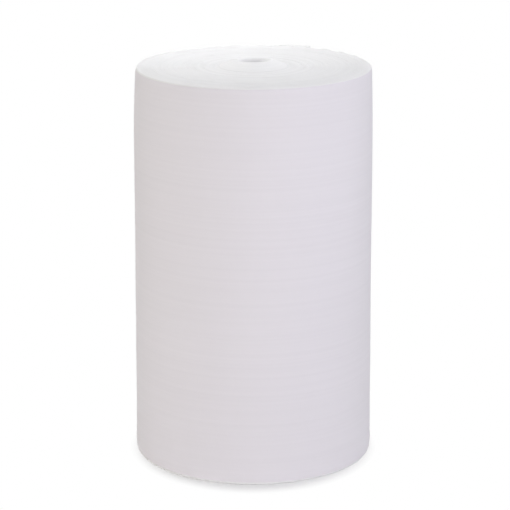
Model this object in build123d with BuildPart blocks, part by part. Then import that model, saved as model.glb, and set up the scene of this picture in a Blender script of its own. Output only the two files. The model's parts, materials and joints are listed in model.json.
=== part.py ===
"""Foam wrap roll: one long sheet of white polyethylene foam, wound up and standing on its end.

The sheet is a single piece, so the whole roll is one solid. Its winding is a spiral, set out in half
turns that are struck from two centres: the wall carries the last turn, with a step where the sheet
ends, and both ends carry the turns as a spiral of low steps. The origin is the centre of the base,
and +Z runs up the axis.
"""

from build123d import *
from math import acos, degrees
import os

# Driving dimensions, in millimetres and degrees
sheet_width = 1000.0  # height of the wall as the roll stands
sheet_thickness = 3.0  # one turn of foam, and the step where the sheet ends
roll_diameter = 604.0  # twice the reach of the sheet's outer end
bore_diameter = 50.0  # left open by the winding mandrel
tail_angle = 60.0  # direction of the sheet's outer end, turned from +X towards +Y

# Soft edges
shoulder_radius = 24.0  # rounding of the top rim, which meets the end at an angle
shoulder_depth = 7.0  # how far that rounding comes in from the wall
foot_depth = 3.0  # how far the bottom edge is pressed in
foot_height = 6.0
lip_radius = 20.0  # rounded mouth of the bore at both ends

# Inner turns that came up with the mandrel: proud on top, sunk by as much in the base
drawn_width = 63.0  # how far they reach out from the bore
drawn_rise = 16.0
drawn_steps = 6

# Winding as it shows on the ends: one low step for each band of turns
turns_per_band = 5
step_height = 1.6
step_run = 1.2  # a step leans in by this much
rim_width = 6.0  # smooth rim between the shoulder and the first band
bearing_bands = 6  # outer bands that the weight has pressed smooth in the base

# Worked out from the above
roll_radius = roll_diameter / 2
bore_radius = bore_diameter / 2
drawn_radius = bore_radius + drawn_width
drawn_step_rise = drawn_rise / drawn_steps
drawn_step_width = (drawn_width - lip_radius) / drawn_steps
drawn_crest = bore_radius + lip_radius + drawn_step_width / 2  # top of the plain slope
shoulder_arc = degrees(acos(1 - shoulder_depth / shoulder_radius))
shoulder_height = (2 * shoulder_radius * shoulder_depth - shoulder_depth**2) ** 0.5
band_pitch = turns_per_band * sheet_thickness
top_start = roll_radius - sheet_thickness - shoulder_depth - rim_width
top_bands = int((top_start - drawn_radius) // band_pitch) - 1
base_bands = max(top_bands - bearing_bands, 1)
base_start = top_start - (top_bands - base_bands) * band_pitch
hub_radius = bore_radius / 2  # inner edge of the rough body, inside the bore

# Local x points at the sheet's outer end
winding = Plane.XY.rotated((0, 0, tail_angle))
# Upright section through that end: local x runs outwards and local y runs up
section = Plane(origin=(0, 0, 0), x_dir=winding.x_dir, z_dir=-winding.y_dir)


def half_turn_axis(pitch, side):
    """Axis of half a turn of a spiral of that pitch; side 1 leaves the section one way, -1 the other."""
    return Axis(winding.from_local_coords((side * pitch / 4, 0, 0)), (0, 0, side))


def stepped_crown(base):
    """Points of a flight of leaning steps that rises from height base towards the bore."""
    points = [(0, base)]
    for step in range(drawn_steps):
        radius = drawn_radius - step * drawn_step_width
        points.append((radius, base + step * drawn_step_rise))
        points.append((radius - step_run, base + (step + 1) * drawn_step_rise))
    points.append((0, base + drawn_rise))
    return points


def plain_crown(base):
    """Points of a plain slope that rises from height base towards the bore."""
    return [(0, base), (drawn_radius, base), (drawn_crest, base + drawn_rise), (0, base + drawn_rise)]


def winding_outline(start, bands, end, outwards):
    """Points of what is cut away at height end: each band dips inwards, up to the step of the next one."""
    low = end - outwards * step_height
    clear = end + outwards * step_height
    points = [(start, clear), (start, end)]
    for band in range(1, bands + 1):
        next_band = start - band * band_pitch
        points.append((next_band + step_run, low))
        points.append((next_band, end))
    points.append((next_band, clear))
    return points


with BuildPart() as foam_roll:
    # Wall and flat ends: the last turn as two half turns, with the sheet's end as a step between them
    for side, reach in ((1, roll_radius), (-1, roll_radius - sheet_thickness)):
        with BuildSketch(section):
            with BuildLine():
                wall = Polyline(
                    (hub_radius, sheet_width),
                    (hub_radius, 0),
                    (reach - foot_depth, 0),
                    (reach, foot_height),
                    (reach, sheet_width - shoulder_height),
                )
                shoulder = JernArc(wall @ 1, (0, 1), shoulder_radius, shoulder_arc)
                Line(shoulder @ 1, wall @ 0)
            make_face()
        revolve(axis=half_turn_axis(sheet_thickness, side), revolution_arc=180)

    # Drawn turns: a stepped crown on top, and the smooth hollow that it leaves in the base
    for outline, mode in ((stepped_crown(sheet_width), Mode.ADD), (plain_crown(0), Mode.SUBTRACT)):
        with BuildSketch(Plane.XZ):
            with BuildLine():
                Polyline(*outline, close=True)
            make_face()
        revolve(axis=Axis.Z, mode=mode)

    # Bore, with a soft mouth at each end
    Hole(bore_radius)
    bore_wall = foam_roll.faces().filter_by(GeomType.CYLINDER).sort_by(SortBy.RADIUS)[0]
    fillet(bore_wall.edges().filter_by(GeomType.CIRCLE), lip_radius)

    # Winding on the ends: bands swept in half turns, the same spiral seen from above and from below
    ends = ((top_start, top_bands, sheet_width, 1), (base_start, base_bands, 0, -1))
    for start, bands, end, outwards in ends:
        for side, first in ((1, start), (-1, start - band_pitch)):
            with BuildSketch(section):
                with BuildLine():
                    Polyline(*winding_outline(first, bands, end, outwards), close=True)
                make_face()
            revolve(axis=half_turn_axis(band_pitch, side), revolution_arc=180, mode=Mode.SUBTRACT)

foam_roll.part.label = "foam_roll"

os.makedirs("parts", exist_ok=True)
export_step(foam_roll.part, "parts/foam_roll.step")
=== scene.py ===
"""Dresses the foam wrap roll: one long sheet of white packing foam, wound up and standing on its end.

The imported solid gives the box, the flat base and the bore. Here the sheet is modelled turn by turn, as a
closed mesh whose rows run along the spiral, so that the outer and inner ends of the sheet show as steps.
"""

from __future__ import annotations

import json
import logging
import math
from dataclasses import dataclass, field
from enum import Enum
from typing import Any

import bmesh
import bpy
import numpy as np
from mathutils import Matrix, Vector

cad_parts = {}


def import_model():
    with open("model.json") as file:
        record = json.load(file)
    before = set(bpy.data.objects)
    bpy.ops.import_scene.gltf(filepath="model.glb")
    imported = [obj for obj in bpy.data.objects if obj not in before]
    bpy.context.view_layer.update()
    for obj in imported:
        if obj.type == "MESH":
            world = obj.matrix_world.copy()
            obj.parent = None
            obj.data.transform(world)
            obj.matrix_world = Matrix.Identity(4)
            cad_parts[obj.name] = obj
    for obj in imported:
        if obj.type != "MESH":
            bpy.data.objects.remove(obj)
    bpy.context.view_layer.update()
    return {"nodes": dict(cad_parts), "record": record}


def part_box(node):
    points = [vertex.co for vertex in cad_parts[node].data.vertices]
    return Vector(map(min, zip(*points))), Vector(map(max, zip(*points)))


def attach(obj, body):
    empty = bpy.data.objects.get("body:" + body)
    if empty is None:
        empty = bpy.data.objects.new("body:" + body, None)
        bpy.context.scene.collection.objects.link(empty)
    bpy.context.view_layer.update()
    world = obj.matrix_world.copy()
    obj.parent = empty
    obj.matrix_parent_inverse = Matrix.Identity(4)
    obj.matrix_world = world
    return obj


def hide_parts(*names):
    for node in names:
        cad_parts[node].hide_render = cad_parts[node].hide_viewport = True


log = logging.getLogger("foam_wrap_roll")

MM = 0.001
FULL_TURN = 2.0 * math.pi
# Middle of a turn's edge, as a share of the turn's thickness
MID_EDGE = 0.5

# Colour sockets of a mix node, by number because other sockets of it have the same names
COLOUR_A = 6
COLOUR_B = 7
MIXED_COLOUR = 2
# Setting of a map range node that eases it in and out
SMOOTH_STEP = {"interpolation_type": "SMOOTHSTEP"}

# Radius and height of points, by column and row
Rows = tuple[np.ndarray, np.ndarray]


def linear(hex_colour: str) -> tuple[float, float, float, float]:
    """Turns an sRGB colour into Blender's linear values.

    Args:
        hex_colour: Six hex digits after a hash sign.

    Returns:
        Linear red, green and blue, with an alpha of one.
    """
    channels = [int(hex_colour[i : i + 2], 16) / 255.0 for i in (1, 3, 5)]
    red, green, blue = [c / 12.92 if c <= 0.04045 else ((c + 0.055) / 1.055) ** 2.4 for c in channels]
    return red, green, blue, 1.0


def add_node(
    tree: bpy.types.NodeTree, kind: str, inputs: dict[Any, Any] | None = None, **settings: Any
) -> bpy.types.Node:
    """Adds one node, sets it up and links it.

    Args:
        tree: The node tree that takes the node.
        kind: The node's type name.
        inputs: For each input, by name or number, a value or the output socket that feeds it.
        settings: Attributes of the node itself.

    Returns:
        The new node.
    """
    node = tree.nodes.new(kind)
    for name, value in settings.items():
        setattr(node, name, value)
    for key, value in (inputs or {}).items():
        if isinstance(value, bpy.types.NodeSocket):
            tree.links.new(value, node.inputs[key])
        else:
            node.inputs[key].default_value = value
    return node


def ease(share: np.ndarray) -> np.ndarray:
    """Smooth rise from 0 to 1 as share goes from 0 to 1."""
    held = np.clip(share, 0.0, 1.0)
    return held * held * (3.0 - 2.0 * held)


def corners(grid: np.ndarray) -> np.ndarray:
    """Values at the four corners of each face between neighbouring columns and rows."""
    return np.stack([grid[:-1, :-1], grid[1:, :-1], grid[1:, 1:], grid[:-1, 1:]], axis=-1)


def quads(numbers: np.ndarray) -> list[list[int]]:
    """Faces between neighbouring columns and rows of numbered points."""
    return corners(numbers).reshape(-1, 4).tolist()


class End(Enum):
    """The two ends of the roll, with the way that each one faces along the axis."""

    TOP = 1
    BASE = -1


class Finish(Enum):
    """The roll's material slots."""

    SKIN = 0
    CUT_EDGE = 1


@dataclass(frozen=True)
class Wander:
    """A seeded unevenness along a line: random heights at even knots, eased from one to the next."""

    seed: int
    knot_gap: float
    swing: float
    knots: int = 509

    def at(self, along: np.ndarray) -> np.ndarray:
        """Height of the unevenness.

        Args:
            along: Places along the line, in the unit of knot_gap.

        Returns:
            Heights between minus and plus the swing.
        """
        levels = np.random.default_rng(self.seed).uniform(-1.0, 1.0, self.knots)
        place = np.asarray(along) / self.knot_gap
        knot = np.floor(place).astype(int)
        blend = ease(place - knot)
        here, following = levels[knot % self.knots], levels[(knot + 1) % self.knots]
        return self.swing * (here * (1.0 - blend) + following * blend)


@dataclass(frozen=True)
class ProudStretch:
    """A stretch of one turn whose edge stands out of the end, in millimetres and degrees."""

    radius: float
    start_deg: float
    sweep_deg: float
    lift: float
    # Share of the lift that the edge's outer side has
    outer_share: float = 1.0
    # Share of the stretch in which it rises at one end and falls at the other
    ramp_share: float = 0.25


@dataclass(frozen=True)
class PolyethyleneFoamSkin:
    """Closed-cell polyethylene foam, extruded: the sheet's smooth skin, which shows on the wall and bore."""

    # Extrusion draws faint lines along the sheet, which lie level round the roll, and leaves a skin of tiny
    # closed cells: the eye sees a soft, dull white with a trace of bands and mottle, and no clear highlight
    colour: str = "#EDEAEE"
    # Painted shade: the lines are darker where their relief is low
    groove_shade_colour: str = "#E7E4E8"
    line_pitch_mm: float = 9.0
    line_length_mm: float = 1667.0
    line_depth_mm: float = 0.12
    # Real cells are about 1 mm across; they are drawn coarser so that they show at all
    cell_mm: float = 4.5
    cell_depth_mm: float = 0.06
    roughness: float = 0.65
    gloss: float = 0.25
    ior: float = 1.50
    # Light goes a few millimetres into the foam before it comes out again
    glow_share: float = 0.6
    glow_mm: float = 4.0

    def material(self) -> bpy.types.Material:
        """Makes the material.

        Returns:
            The finished skin.
        """
        made = bpy.data.materials.new("polyethylene_foam_skin")
        made.use_nodes = True
        tree = made.node_tree
        tree.nodes.clear()
        place = add_node(tree, "ShaderNodeTexCoord").outputs["Object"]
        # Far finer up the axis than across it, so that the noise becomes long level lines
        across, upward = 1.0 / (self.line_length_mm * MM), 1.0 / (self.line_pitch_mm * MM)
        level = add_node(tree, "ShaderNodeMapping", {"Vector": place, "Scale": (across, across, upward)})
        noise = {"Vector": level.outputs["Vector"], "Scale": 1.0, "Detail": 2.0, "Roughness": 0.5}
        lines = add_node(tree, "ShaderNodeTexNoise", noise).outputs["Fac"]
        mottle = {"Vector": place, "Scale": 1.0 / (self.cell_mm * MM)}
        cells = add_node(tree, "ShaderNodeTexVoronoi", mottle, feature="SMOOTH_F1").outputs["Distance"]
        # Painted shade: the colour darkens in the low parts of the lines' relief
        tones = {"Factor": lines, COLOUR_A: linear(self.groove_shade_colour), COLOUR_B: linear(self.colour)}
        tone = add_node(tree, "ShaderNodeMix", tones, data_type="RGBA").outputs[MIXED_COLOUR]
        line_relief = {"Height": lines, "Strength": 1.0, "Distance": self.line_depth_mm * MM}
        line_bump = add_node(tree, "ShaderNodeBump", line_relief).outputs["Normal"]
        cell_relief = {"Height": cells, "Strength": 1.0, "Distance": self.cell_depth_mm * MM}
        cell_bump = add_node(tree, "ShaderNodeBump", {**cell_relief, "Normal": line_bump}).outputs["Normal"]
        surface = {
            "Base Color": tone,
            "Roughness": self.roughness,
            "Specular IOR Level": self.gloss,
            "IOR": self.ior,
            "Subsurface Weight": self.glow_share,
            "Subsurface Radius": (1.0, 1.0, 1.0),
            "Subsurface Scale": self.glow_mm * MM,
            "Normal": cell_bump,
        }
        foam = add_node(tree, "ShaderNodeBsdfPrincipled", surface)
        add_node(tree, "ShaderNodeOutputMaterial", {"Surface": foam.outputs["BSDF"]})
        return made


@dataclass(frozen=True)
class PolyethyleneFoamEdge:
    """Closed-cell polyethylene foam, slit: the cut edges of the turns, which show on both ends."""

    # Turns from the wall to the drawn turns' foot; they lie close, so less painted shade shows in their gaps
    drawn_turn: float
    drawn_shade_share: float = 0.25
    drawn_fade_turns: float = 2.0
    # The slitting knife opens the cells, so the edge is duller and a little whiter than the skin.
    # Painted shade lies between two turns, as fine grey lines that wind in to the bore
    colour: str = "#F4F4F4"
    dull_colour: str = "#E9E9E9"
    gap_shade_colour: str = "#E0E0E1"
    # Share of a turn's thickness that its painted gap shade takes up
    gap_share: float = 0.22
    # The outer turns are pressed together, so the painted shade in their gaps fades towards the wall
    tight_turns: float = 8.0
    # The winding's tension drifts, so bands of a few turns stand open or shut and differ a little in tone
    band_turns: float = 4.0
    # Opened cells of about 1 mm, drawn coarser so that they show at all
    cell_mm: float = 3.5
    cell_depth_mm: float = 0.10
    roughness: float = 0.75
    gloss: float = 0.2
    ior: float = 1.50
    # Light goes a few millimetres into the foam before it comes out again
    glow_share: float = 0.8
    glow_mm: float = 5.0

    def material(self) -> bpy.types.Material:
        """Makes the material.

        Returns:
            The finished cut edge.
        """
        made = bpy.data.materials.new("polyethylene_foam_cut_edge")
        made.use_nodes = True
        tree = made.node_tree
        tree.nodes.clear()
        place = add_node(tree, "ShaderNodeTexCoord").outputs
        # The mesh's map has the share of a turn in U and the turns from the wall in V
        turns = add_node(tree, "ShaderNodeSeparateXYZ", {0: place["UV"]}).outputs
        share, turn = turns["X"], turns["Y"]
        across = add_node(tree, "ShaderNodeMath", {0: turn}, operation="FRACT").outputs[0]
        whole = add_node(tree, "ShaderNodeMath", {0: turn}, operation="FLOOR").outputs[0]
        along = add_node(tree, "ShaderNodeMath", {0: whole, 1: share}, operation="ADD").outputs[0]

        # Painted shade in the gaps on both sides of each edge, fainter near the wall and on the drawn turns
        off_middle = add_node(tree, "ShaderNodeMath", {0: across, 1: -MID_EDGE}, operation="ADD").outputs[0]
        aside = add_node(tree, "ShaderNodeMath", {0: off_middle}, operation="ABSOLUTE").outputs[0]
        in_gap = {"Value": aside, "From Min": MID_EDGE - self.gap_share / 2.0, "From Max": MID_EDGE}
        gap = add_node(tree, "ShaderNodeMapRange", in_gap, **SMOOTH_STEP).outputs["Result"]
        opened = {"Value": turn, "From Min": MID_EDGE, "From Max": self.tight_turns}
        opening = add_node(tree, "ShaderNodeMapRange", opened, **SMOOTH_STEP).outputs["Result"]
        gap = add_node(tree, "ShaderNodeMath", {0: gap, 1: opening}, operation="MULTIPLY").outputs[0]
        faded = self.drawn_turn + self.drawn_fade_turns
        drawn = {"Value": turn, "From Min": self.drawn_turn, "From Max": faded}
        drawn.update({"To Min": 1.0, "To Max": self.drawn_shade_share})
        shut = add_node(tree, "ShaderNodeMapRange", drawn, **SMOOTH_STEP).outputs["Result"]
        gap = add_node(tree, "ShaderNodeMath", {0: gap, 1: shut}, operation="MULTIPLY").outputs[0]

        run = {"W": along, "Scale": 1.0 / self.band_turns, "Detail": 3.0, "Roughness": 0.6}
        drift = add_node(tree, "ShaderNodeTexNoise", run, noise_dimensions="1D").outputs["Fac"]
        tones = {"Factor": drift, COLOUR_A: linear(self.dull_colour), COLOUR_B: linear(self.colour)}
        tone = add_node(tree, "ShaderNodeMix", tones, data_type="RGBA").outputs[MIXED_COLOUR]
        # Painted shade: the gap lines darken the edge's tone
        gap_shading = {"Factor": gap, COLOUR_A: tone, COLOUR_B: linear(self.gap_shade_colour)}
        face = add_node(tree, "ShaderNodeMix", gap_shading, data_type="RGBA").outputs[MIXED_COLOUR]
        mottle = {"Vector": place["Object"], "Scale": 1.0 / (self.cell_mm * MM)}
        cells = add_node(tree, "ShaderNodeTexVoronoi", mottle, feature="SMOOTH_F1").outputs["Distance"]
        relief = {"Height": cells, "Strength": 1.0, "Distance": self.cell_depth_mm * MM}
        bump = add_node(tree, "ShaderNodeBump", relief).outputs["Normal"]
        surface = {
            "Base Color": face,
            "Roughness": self.roughness,
            "Specular IOR Level": self.gloss,
            "IOR": self.ior,
            "Subsurface Weight": self.glow_share,
            "Subsurface Radius": (1.0, 1.0, 1.0),
            "Subsurface Scale": self.glow_mm * MM,
            "Normal": bump,
        }
        foam = add_node(tree, "ShaderNodeBsdfPrincipled", surface)
        add_node(tree, "ShaderNodeOutputMaterial", {"Surface": foam.outputs["BSDF"]})
        return made


@dataclass
class PointStore:
    """Points of a mesh, in the order of their numbers."""

    placed: list[np.ndarray] = field(default_factory=list)
    count: int = 0

    def keep(self, radius: np.ndarray, height: np.ndarray, angle: np.ndarray) -> np.ndarray:
        """Keeps points and numbers them.

        Args:
            radius: Distances from the axis, by column and row.
            height: Heights, in the same layout.
            angle: Angle of each column, in radians.

        Returns:
            The points' numbers, in the same layout.
        """
        x, y = radius * np.cos(angle)[:, None], radius * np.sin(angle)[:, None]
        self.placed.append(np.stack([x, y, height], axis=-1).reshape(-1, 3))
        numbers = np.arange(self.count, self.count + radius.size).reshape(radius.shape)
        self.count += radius.size
        return numbers


@dataclass
class WoundSheet:
    """The wound foam sheet. Sizes are in millimetres, angles in degrees, and the axis is Z.

    A place on the end is given in turns along the sheet, counted from its outer end: the spiral's radius
    falls by one thickness with each turn, going round towards +Y from the outer end.
    """

    width: float
    reach: float
    bore_radius: float
    thickness: float = 3.0
    tail_deg: float = 60.0

    # Soft form of the wall: pulled in towards the top, most of all on one side, and spread towards the base
    pull: float = 5.1
    pull_height: float = 200.0
    spread: float = 3.4
    spread_height: float = 700.0
    full_deg: float = 180.0
    full_swing: float = 0.18
    # How far in from the wall the ends follow that form
    form_reach: float = 60.0

    # Rim of the top, edge of the base and mouths of the bore
    rim_depth: float = 3.8
    rim_height: float = 8.0
    rim_lean: float = 1.2
    rim_swing: float = 0.35
    foot_depth: float = 7.0
    foot_height: float = 18.0
    foot_lean: float = 1.6
    lip: float = 20.0
    lip_drop: float = 20.0

    # Inner turns that came up with the mandrel
    drawn_radius: float = 88.0
    drawn_rise: float = 16.0
    # They came up a little more on one side
    drawn_swing: float = 1.7
    drawn_deg: float = 270.0
    # They lie close on each other from a little inside their foot
    drawn_gap_share: float = 0.3
    drawn_ease: float = 6.0

    # Outer end of the sheet: its edge stands up, and the turn below it goes under the end
    tail_lift: float = 5.0
    tail_lift_deg: float = 32.0
    settle_deg: float = 60.0

    # Edges of the turns, whose gaps are shallower near the rim
    gap_depth: float = 0.6
    base_gap_depth: float = 0.5
    rim_gap_share: float = 0.25
    rim_reach: float = 24.0
    # The innermost turns are looser, so their gaps are a little deeper
    loose_gap: float = 0.2
    loose_reach: float = 22.0
    # The weight has pressed the outer turns of the base even
    pressed_reach: float = 200.0
    slow: Wander = Wander(seed=11, knot_gap=3.3, swing=0.4)
    quick: Wander = Wander(seed=23, knot_gap=0.41, swing=0.25)
    proud: tuple[ProudStretch, ...] = (
        ProudStretch(radius=297.6, start_deg=46.0, sweep_deg=9.0, lift=2.4),
        ProudStretch(radius=297.6, start_deg=35.0, sweep_deg=7.0, lift=1.6),
        ProudStretch(radius=297.6, start_deg=24.0, sweep_deg=7.0, lift=1.4),
        ProudStretch(radius=272.0, start_deg=266.0, sweep_deg=10.0, lift=1.8, outer_share=0.3),
        ProudStretch(radius=288.0, start_deg=247.0, sweep_deg=9.0, lift=1.6, outer_share=0.3),
        ProudStretch(radius=276.0, start_deg=231.0, sweep_deg=8.0, lift=1.6, outer_share=0.3),
        ProudStretch(radius=137.0, start_deg=155.0, sweep_deg=18.0, lift=0.8, outer_share=0.3),
    )

    # Skin of the wall: fine ribs and uneven bands that run level, on slow swells
    rib_pitch: float = 12.5
    rib_height: float = 0.035
    bands: Wander = Wander(seed=5, knot_gap=17.0, swing=0.10)
    swell: Wander = Wander(seed=8, knot_gap=140.0, swing=0.5)
    # On their way round they move up and down; the phase is in radians
    band_drift: float = 3.0
    band_phase: float = 0.7
    ripple_share: float = 0.5
    ripple_waves: int = 3
    swell_drift: float = 160.0

    # How finely it is drawn, with extra columns at these distances from the sheet's outer end
    columns: int = 128
    close_columns: tuple[float, ...] = (2.5, 6.0)
    wall_rows: int = 220
    bore_rows: int = 24
    # Places of the rows across one turn's edge, as shares of the thickness; the first one is in the gap
    top_offsets: tuple[float, ...] = (0.0, 0.22, 0.78)
    base_offsets: tuple[float, ...] = (0.0, 0.5)
    sharp_deg: float = 55.0

    @property
    def turns(self) -> int:
        """Whole turns between the wall and the bore."""
        return int(round((self.reach - self.bore_radius) / self.thickness)) - 1

    @property
    def round_share(self) -> np.ndarray:
        """Places of the columns round the roll, closer together beside the sheet's outer end.

        Returns:
            Shares of a turn from the outer end, from 0 to 1.
        """
        even = np.linspace(0.0, 1.0, self.columns + 1)
        close = np.array(self.close_columns) / (FULL_TURN * self.reach)
        return np.sort(np.concatenate([even, close, 1.0 - close]))

    @property
    def angle(self) -> np.ndarray:
        """Angle of each column, in radians."""
        return math.radians(self.tail_deg) + FULL_TURN * self.round_share

    @property
    def settled(self) -> np.ndarray:
        """For each column, 1 where the outermost turn is the rim, down to 0 where it goes under the end."""
        left = (1.0 - self.round_share) * 360.0 / self.settle_deg
        return ease(left)

    def radius(self, along: np.ndarray) -> np.ndarray:
        """Radius of the spiral at a place along the sheet, in turns."""
        return self.reach - self.thickness * along

    def tail_rise(self, along: np.ndarray) -> np.ndarray:
        """Share of the lift that the sheet's outer end has, from 1 at the end to 0 where it lies flat."""
        return 1.0 - ease((along - MID_EDGE) * 360.0 / self.tail_lift_deg)

    def fullness(self, swing: float) -> np.ndarray:
        """For each column, a factor round 1 that is greatest on the fuller side."""
        turned = self.angle - math.radians(self.full_deg)
        return (1.0 + swing * np.cos(turned))[:, None]

    def form(self, height: np.ndarray) -> np.ndarray:
        """How far the wall stands outside the true spiral.

        Args:
            height: Heights of the points, by column and row.

        Returns:
            Offsets in millimetres, by column and row, below zero where the wall is pulled in.
        """
        near_top = np.clip(1.0 - (self.width - height) / self.pull_height, 0.0, 1.0)
        near_base = np.clip(1.0 - height / self.spread_height, 0.0, 1.0)
        return self.spread * near_base**2 - self.pull * self.fullness(self.full_swing) * near_top**2

    def proud_lift(self, along: np.ndarray, across: np.ndarray | float) -> np.ndarray:
        """How far the stretches that stand out rise above the other turns.

        Args:
            along: Places along the sheet, in turns, on the middle of a turn's edge.
            across: Place across that edge, from 0 on its outer side to 1 on its inner side.

        Returns:
            Lifts in millimetres.
        """
        lift = np.zeros_like(along)
        for stretch in self.proud:
            share = ((stretch.start_deg - self.tail_deg) % 360.0) / 360.0
            whole = round((self.reach - stretch.radius) / self.thickness - share - MID_EDGE)
            inside = (along - whole - MID_EDGE - share) * 360.0 / stretch.sweep_deg
            ramps = ease(inside / stretch.ramp_share) * ease((1.0 - inside) / stretch.ramp_share)
            tilt = stretch.outer_share + (1.0 - stretch.outer_share) * across
            lift += stretch.lift * tilt * ramps
        return lift

    def drawn_height(self, along: np.ndarray) -> np.ndarray:
        """How far the drawn turns have come up.

        Args:
            along: Places along the sheet, in turns, by column and row.

        Returns:
            Heights in millimetres, by column and row.
        """
        inner = self.bore_radius + self.lip
        share = (self.drawn_radius - self.radius(along)) / (self.drawn_radius - inner)
        turned = self.angle - math.radians(self.drawn_deg)
        rise = self.drawn_rise + self.drawn_swing * np.maximum(np.cos(turned), 0.0)[:, None] ** 2
        return rise * np.clip(share, 0.0, 1.0)

    def edge_height(self, end: End, along: np.ndarray, across: np.ndarray | float) -> np.ndarray:
        """How far a turn's edge stands out of the even end.

        Args:
            end: The end that is meant.
            along: Places along the sheet, in turns, on the middle of a turn's edge.
            across: Place across that edge, from 0 on its outer side to 1 on its inner side.

        Returns:
            Heights in millimetres, outwards.
        """
        uneven = self.slow.at(along) + self.quick.at(along)
        if end is End.BASE:
            return -np.abs(uneven) * ease((self.reach - self.radius(along)) / self.pressed_reach)
        return uneven + self.proud_lift(along, across) + self.tail_lift * self.tail_rise(along)

    def offsets(self, end: End) -> tuple[float, ...]:
        """Places of the rows across one turn's edge, as shares of the thickness."""
        return self.top_offsets if end is End.TOP else self.base_offsets

    def inward(self, end: End) -> np.ndarray:
        """Turns from the wall to each row of an end."""
        rows = [turn + offset for turn in range(self.turns) for offset in self.offsets(end)]
        return np.array(rows + [self.turns], dtype=float)

    def end_rows(self, end: End) -> Rows:
        """Sets out the rows of one end, from the wall in to the bore.

        Args:
            end: The end that is meant.

        Returns:
            Radius and height of each point, by column and row.
        """
        offset = np.array(list(self.offsets(end)) * self.turns + [0.0])
        along = self.round_share[:, None] + self.inward(end)[None, :]
        under = (self.round_share * self.settled)[:, None]
        from_wall = self.thickness * (along - under)
        from_bore = np.maximum(self.thickness * (self.turns + under - along), 0.0)

        # Edges and gaps: a gap goes down from the lower of the two edges beside it
        gap = self.gap_depth if end is End.TOP else self.base_gap_depth
        open_share = self.rim_gap_share + (1.0 - self.rim_gap_share) * ease(from_wall / self.rim_reach)
        drawn_in = ease((self.drawn_radius - self.radius(along)) / self.drawn_ease)
        open_share = open_share * (1.0 - (1.0 - self.drawn_gap_share) * drawn_in)
        gap = gap * open_share + self.loose_gap * ease(1.0 - from_bore / self.loose_reach)
        outside = self.edge_height(end, along - MID_EDGE, 1.0)
        inside = self.edge_height(end, along + MID_EDGE, 0.0)
        crest = self.edge_height(end, along - offset + MID_EDGE, (offset > MID_EDGE).astype(float))
        out = np.where(offset[None, :] == 0.0, np.minimum(outside, inside) - gap, crest)
        out += end.value * self.drawn_height(along)

        # Round rim or foot, and the mouth of the bore
        if end is End.TOP:
            round_rim = self.fullness(self.rim_swing)
            depth, height, lean = self.rim_depth * round_rim, self.rim_height * round_rim, self.rim_lean
        else:
            depth, height, lean = self.foot_depth, self.foot_height, self.foot_lean
        squeeze = lean * np.clip(1.0 - from_wall / self.thickness, 0.0, 1.0)
        inset = np.clip(1.0 - (from_wall + squeeze) / depth, 0.0, 1.0)
        out -= height * (1.0 - np.sqrt(1.0 - inset**2))
        mouth = np.clip(1.0 - from_bore / self.lip, 0.0, 1.0)
        out -= self.lip_drop * (1.0 - np.sqrt(1.0 - mouth**2))

        flat = self.width if end is End.TOP else 0.0
        formed = self.form(np.full_like(along, flat)) * (1.0 - ease(from_wall / self.form_reach))
        return self.radius(along) + formed - squeeze, flat + end.value * out

    def wall(self, top: Rows, base: Rows) -> Rows:
        """Sets out the rows of the wall between the outer rows of the two ends.

        Args:
            top: Radius and height of the top's points.
            base: Radius and height of the base's points.

        Returns:
            Radius and height of each point, by column and row, from the base up.
        """
        share = np.linspace(0.0, 1.0, self.wall_rows + 1)[None, :]
        low, high = base[1][:, :1], top[1][:, :1]
        height = low + (high - low) * share
        round_share = self.round_share[:, None]
        formed = self.radius(round_share) + self.form(height)
        lean_top = formed[:, -1:] - top[0][:, :1]
        lean_base = formed[:, :1] - base[0][:, :1]
        near_top = np.clip(1.0 - (high - height) / self.rim_height, 0.0, 1.0) ** 2
        near_base = np.clip(1.0 - (height - low) / self.foot_height, 0.0, 1.0) ** 2

        turned = FULL_TURN * round_share
        drift = np.sin(turned + self.band_phase) + self.ripple_share * np.sin(self.ripple_waves * turned)
        level = height + self.band_drift * drift
        ribs = self.rib_height * np.sin(FULL_TURN * level / self.rib_pitch)
        swell = self.swell.at(height + self.swell_drift * np.sin(turned))
        skin = ribs + self.bands.at(level) + swell
        fade = (1.0 - near_top) * (1.0 - near_base)
        return formed - lean_top * near_top - lean_base * near_base + skin * fade, height

    def bore(self, top: Rows, base: Rows) -> Rows:
        """Sets out the rows of the bore between the inner rows of the two ends.

        Args:
            top: Radius and height of the top's points.
            base: Radius and height of the base's points.

        Returns:
            Radius and height of each point, by column and row, from the base up.
        """
        share = np.linspace(0.0, 1.0, self.bore_rows + 1)[None, :]
        low, high = base[1][:, -1:], top[1][:, -1:]
        radius = np.repeat(top[0][:, -1:], self.bore_rows + 1, axis=1)
        return radius, low + (high - low) * share

    def end_numbers(self, store: PointStore, rows: Rows, step: int) -> np.ndarray:
        """Keeps an end's points. A row's last column is the first column of the row one turn further in.

        Args:
            store: Takes the points.
            rows: Radius and height of the end's points.
            step: How many rows there are to a turn.

        Returns:
            The points' numbers, by column and row.
        """
        radius, height = rows
        most = store.keep(radius[:-1], height[:-1], self.angle[:-1])
        rest = store.keep(radius[-1:, -step:], height[-1:, -step:], self.angle[-1:])
        last = np.concatenate([most[:1, step:], rest], axis=1)
        return np.concatenate([most, last], axis=0)

    def tube_numbers(self, store: PointStore, rows: Rows, low: np.ndarray, high: np.ndarray) -> np.ndarray:
        """Keeps the points of the wall or the bore, whose lowest and highest rows belong to the ends.

        Args:
            store: Takes the points.
            rows: Radius and height of the points.
            low: Numbers of the lowest row.
            high: Numbers of the highest row.

        Returns:
            The points' numbers, by column and row.
        """
        radius, height = rows
        between = store.keep(radius[:, 1:-1], height[:, 1:-1], self.angle)
        return np.concatenate([low[:, None], between, high[:, None]], axis=1)

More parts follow.
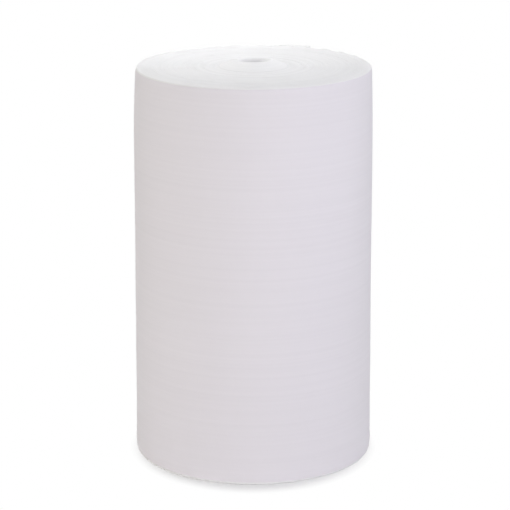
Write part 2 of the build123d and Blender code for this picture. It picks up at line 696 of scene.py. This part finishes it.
    def lay_out(self, end: End) -> list[float]:
        """Map of an end: share of a turn and turns from the wall, for each corner of its faces."""
        across, round_share = np.meshgrid(self.inward(end), self.round_share)
        return np.stack([corners(round_share), corners(across)], axis=-1).ravel().tolist()

    def mesh(self, points: np.ndarray, skin: list[list[int]], ends: list[list[int]]) -> bpy.types.Mesh:
        """Makes the mesh, with the map that the cut edges read, and turns its faces outwards.

        Args:
            points: All points, in millimetres.
            skin: Faces that show the sheet's skin.
            ends: Faces of the top and then of the base.

        Returns:
            The mesh.
        """
        mesh = bpy.data.meshes.new("wound_foam_sheet")
        mesh.from_pydata((points * MM).tolist(), [], skin + ends)
        slots = [Finish.SKIN.value] * len(skin) + [Finish.CUT_EDGE.value] * len(ends)
        mesh.polygons.foreach_set("material_index", slots)
        mesh.polygons.foreach_set("use_smooth", [True] * len(mesh.polygons))
        plain = 2 * sum(len(face) for face in skin)
        turns_map = mesh.uv_layers.new(name="turns")
        turns_map.data.foreach_set("uv", [0.0] * plain + self.lay_out(End.TOP) + self.lay_out(End.BASE))
        facing = bmesh.new()
        facing.from_mesh(mesh)
        bmesh.ops.recalc_face_normals(facing, faces=facing.faces)
        facing.to_mesh(mesh)
        facing.free()
        mesh.set_sharp_from_angle(angle=math.radians(self.sharp_deg))
        return mesh

    def build(self) -> bpy.types.Object:
        """Makes the roll.

        Returns:
            The roll as one closed mesh.
        """
        top, base = self.end_rows(End.TOP), self.end_rows(End.BASE)
        wall, bore = self.wall(top, base), self.bore(top, base)
        top_step, base_step = len(self.top_offsets), len(self.base_offsets)
        store = PointStore()
        top_ids = self.end_numbers(store, top, top_step)
        base_ids = self.end_numbers(store, base, base_step)
        wall_ids = self.tube_numbers(store, wall, base_ids[:, 0], top_ids[:, 0])
        bore_ids = self.tube_numbers(store, bore, base_ids[:, -1], top_ids[:, -1])

        ends = quads(top_ids) + quads(base_ids)
        skin = quads(wall_ids) + quads(bore_ids)
        # Both ends of the sheet, as steps in the wall and the bore, and the small faces that close them
        skin += quads(np.stack([wall_ids[-1], wall_ids[0]])) + quads(np.stack([bore_ids[-1], bore_ids[0]]))
        for ids, step in ((top_ids, top_step), (base_ids, base_step)):
            skin.append(ids[0, : step + 1].tolist())
            skin.append([int(ids[0, -1])] + ids[-1, -step:].tolist())

        roll = bpy.data.objects.new("wound_foam_sheet", self.mesh(np.concatenate(store.placed), skin, ends))
        bpy.context.scene.collection.objects.link(roll)
        return roll

    def dress(self, roll: bpy.types.Object) -> None:
        """Gives the roll its finishes and its place in the frame.

        Args:
            roll: The roll, as build makes it.
        """
        drawn_turn = (self.reach - self.drawn_radius) / self.thickness
        finishes = {Finish.SKIN: PolyethyleneFoamSkin(), Finish.CUT_EDGE: PolyethyleneFoamEdge(drawn_turn)}
        for finish in Finish:
            roll.data.materials.append(finishes[finish].material())
        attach(roll, "root")
        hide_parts("foam_roll")


@dataclass(frozen=True)
class Softbox:
    """A square studio lamp, in metres and watts, that looks at a point of the roll's axis."""

    name: str
    place: tuple[float, float, float]
    side: float
    power: float
    colour: str = "#FFFFFF"
    aim_height: float = 0.5


@dataclass
class Studio:
    """White floor and backdrop, soft lamps and the camera, in metres and degrees."""

    floor_side: float = 60.0
    floor_colour: str = "#F4F4F4"
    # The shadow shows from the roll's foot outwards, a little narrower at the sides than in front
    shadow_share: float = 0.70
    shadow_from: float = 0.295
    shadow_to: float = 0.365
    shadow_squeeze: float = 1.13
    # The light is strongest at the horizon and falls to the sky's level; the reach is the sine of the climb
    sky_colour: str = "#FFFFFF"
    sky_level: float = 0.0
    horizon_level: float = 1.58
    horizon_reach: float = 0.6
    softboxes: tuple[Softbox, ...] = (
        Softbox("key_lamp", (2.1, -1.25, 2.1), 1.4, 20.3, "#F2F1FF"),
        Softbox("front_fill", (0.0, -6.0, 0.9), 2.0, 84.0, "#FFFCFE"),
        Softbox("left_fill", (-3.4, -2.2, 1.0), 1.6, 16.0, "#FFF4E2"),
        Softbox("left_edge", (-4.2, 0.4, 1.0), 2.0, 10.0, "#FFF4E2"),
        Softbox("rear_fill", (0.0, 4.0, 0.45), 1.0, 30.0, "#FFFFFF", 0.45),
        Softbox("top_lamp", (0.0, 0.5, 2.6), 1.2, 12.3, "#FFFFFF", 1.0),
        Softbox("back_lamp", (-0.1, 0.25, 1.6), 0.5, 1.12, "#FFFFFF", 1.0),
        Softbox("left_top", (-0.25, 0.1, 1.6), 0.4, 0.57, "#FFFFFF", 1.0),
    )
    camera_distance: float = 5.557
    camera_height: float = 2.038
    camera_tilt_deg: float = 15.37
    camera_turn_deg: float = 0.0381
    # In millimetres
    lens: float = 159.3

    def paper(self) -> bpy.types.Material:
        """Makes the floor's material, which shows white to the camera and keeps the roll's shadow.

        Returns:
            Uncoated white paper.
        """
        # Pressed wood fibres scatter the light evenly: the eye sees plain white without any shine
        made = bpy.data.materials.new("matt_white_paper")
        made.use_nodes = True
        tree = made.node_tree
        tree.nodes.clear()
        paper = add_node(tree, "ShaderNodeBsdfDiffuse", {"Color": linear(self.floor_colour)}).outputs[0]
        glow = add_node(tree, "ShaderNodeEmission", {"Strength": 1.0}).outputs[0]
        place = add_node(tree, "ShaderNodeTexCoord").outputs["Object"]
        squeeze = (self.shadow_squeeze, 1.0, 1.0)
        shape = add_node(tree, "ShaderNodeMapping", {"Vector": place, "Scale": squeeze}).outputs[0]
        away = add_node(tree, "ShaderNodeVectorMath", {0: shape}, operation="LENGTH").outputs["Value"]
        near = {"Value": away, "From Min": self.shadow_from, "From Max": self.shadow_to}
        near.update({"To Min": self.shadow_share, "To Max": 0.0})
        share = add_node(tree, "ShaderNodeMapRange", near, **SMOOTH_STEP).outputs["Result"]
        blend = add_node(tree, "ShaderNodeMixShader", {0: share, 1: glow, 2: paper}).outputs[0]
        shown = add_node(tree, "ShaderNodeMixShader", {0: self.seen(tree), 1: paper, 2: blend}).outputs[0]
        add_node(tree, "ShaderNodeOutputMaterial", {"Surface": shown})
        return made

    def floor(self) -> None:
        """Lays the floor."""
        half = self.floor_side / 2.0
        outline = [(-half, -half, 0.0), (half, -half, 0.0), (half, half, 0.0), (-half, half, 0.0)]
        mesh = bpy.data.meshes.new("studio_floor")
        mesh.from_pydata(outline, [], [(0, 1, 2, 3)])
        floor = bpy.data.objects.new("studio_floor", mesh)
        bpy.context.scene.collection.objects.link(floor)
        mesh.materials.append(self.paper())

    @staticmethod
    def seen(tree: bpy.types.NodeTree) -> bpy.types.NodeSocket:
        """Adds nodes that tell rays that show a thing from rays that light it.

        Args:
            tree: The tree that takes the nodes.

        Returns:
            An output of 1 for camera, glossy and transmission rays and 0 for the rest.
        """
        path = add_node(tree, "ShaderNodeLightPath").outputs
        rays = {0: path["Is Camera Ray"], 1: path["Is Glossy Ray"]}
        either = add_node(tree, "ShaderNodeMath", rays, operation="MAXIMUM").outputs[0]
        rays = {0: either, 1: path["Is Transmission Ray"]}
        return add_node(tree, "ShaderNodeMath", rays, operation="MAXIMUM").outputs[0]

    def sky(self) -> None:
        """Sets the world: white where it is seen, with a soft light that is brightest at the horizon."""
        world = bpy.data.worlds.new("white_studio")
        world.use_nodes = True
        tree = world.node_tree
        tree.nodes.clear()
        white = linear(self.sky_colour)
        shown = add_node(tree, "ShaderNodeBackground", {"Color": white, "Strength": 1.0}).outputs[0]
        way = add_node(tree, "ShaderNodeTexCoord").outputs["Generated"]
        climb = add_node(tree, "ShaderNodeSeparateXYZ", {0: way}).outputs["Z"]
        levels = {"Value": climb, "From Min": 0.0, "From Max": self.horizon_reach}
        levels.update({"To Min": self.horizon_level, "To Max": self.sky_level})
        level = add_node(tree, "ShaderNodeMapRange", levels, **SMOOTH_STEP).outputs["Result"]
        soft = add_node(tree, "ShaderNodeBackground", {"Color": white, "Strength": level}).outputs[0]
        blend = add_node(tree, "ShaderNodeMixShader", {0: self.seen(tree), 1: soft, 2: shown})
        add_node(tree, "ShaderNodeOutputWorld", {"Surface": blend.outputs[0]})
        bpy.context.scene.world = world

    def lamps(self) -> None:
        """Hangs the softboxes."""
        for box in self.softboxes:
            light = bpy.data.lights.new(box.name, "AREA")
            light.shape = "SQUARE"
            light.size = box.side
            light.energy = box.power
            light.color = linear(box.colour)[:3]
            lamp = bpy.data.objects.new(box.name, light)
            lamp.visible_camera = False
            lamp.location = box.place
            aim = np.array([0.0, 0.0, box.aim_height]) - np.array(box.place)
            flat = math.hypot(aim[0], aim[1])
            lamp.rotation_euler = (math.atan2(flat, -aim[2]), 0.0, math.atan2(-aim[0], aim[1]))
            bpy.context.scene.collection.objects.link(lamp)

    def camera(self) -> None:
        """Sets the camera where the photograph was taken from."""
        data = bpy.data.cameras.new("camera")
        data.lens = self.lens
        camera = bpy.data.objects.new("camera", data)
        camera.location = (0.0, -self.camera_distance, self.camera_height)
        # A camera looks straight down until it is turned, and level at 90 degrees
        tilt, turn = 90.0 - self.camera_tilt_deg, -self.camera_turn_deg
        camera.rotation_euler = (math.radians(tilt), 0.0, math.radians(turn))
        bpy.context.scene.collection.objects.link(camera)
        bpy.context.scene.camera = camera

    def build(self) -> None:
        """Makes the whole studio."""
        self.floor()
        self.sky()
        self.lamps()
        self.camera()
        bpy.context.scene.view_settings.view_transform = "Standard"


def main() -> None:
    """Builds the roll and its studio, and logs the roll's turns and faces."""
    logging.basicConfig(level=logging.INFO, format="%(name)s: %(message)s")
    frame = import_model()
    bore = next(mount for mount in frame["record"]["mounts"] if mount["name"] == "bore")
    solid = frame["nodes"]["foam_roll"].data.vertices
    reach = max(math.hypot(point.co.x, point.co.y) for point in solid) / MM
    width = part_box("foam_roll")[1].z / MM - WoundSheet.drawn_rise
    sheet = WoundSheet(width=width, reach=reach, bore_radius=bore["dims"]["r_mm"])
    roll = sheet.build()
    sheet.dress(roll)
    log.info("%s: %d turns, %d faces", roll.name, sheet.turns, len(roll.data.polygons))
    Studio().build()
    log.info("studio: floor, lamps and camera")


if __name__ == "__main__":
    main()
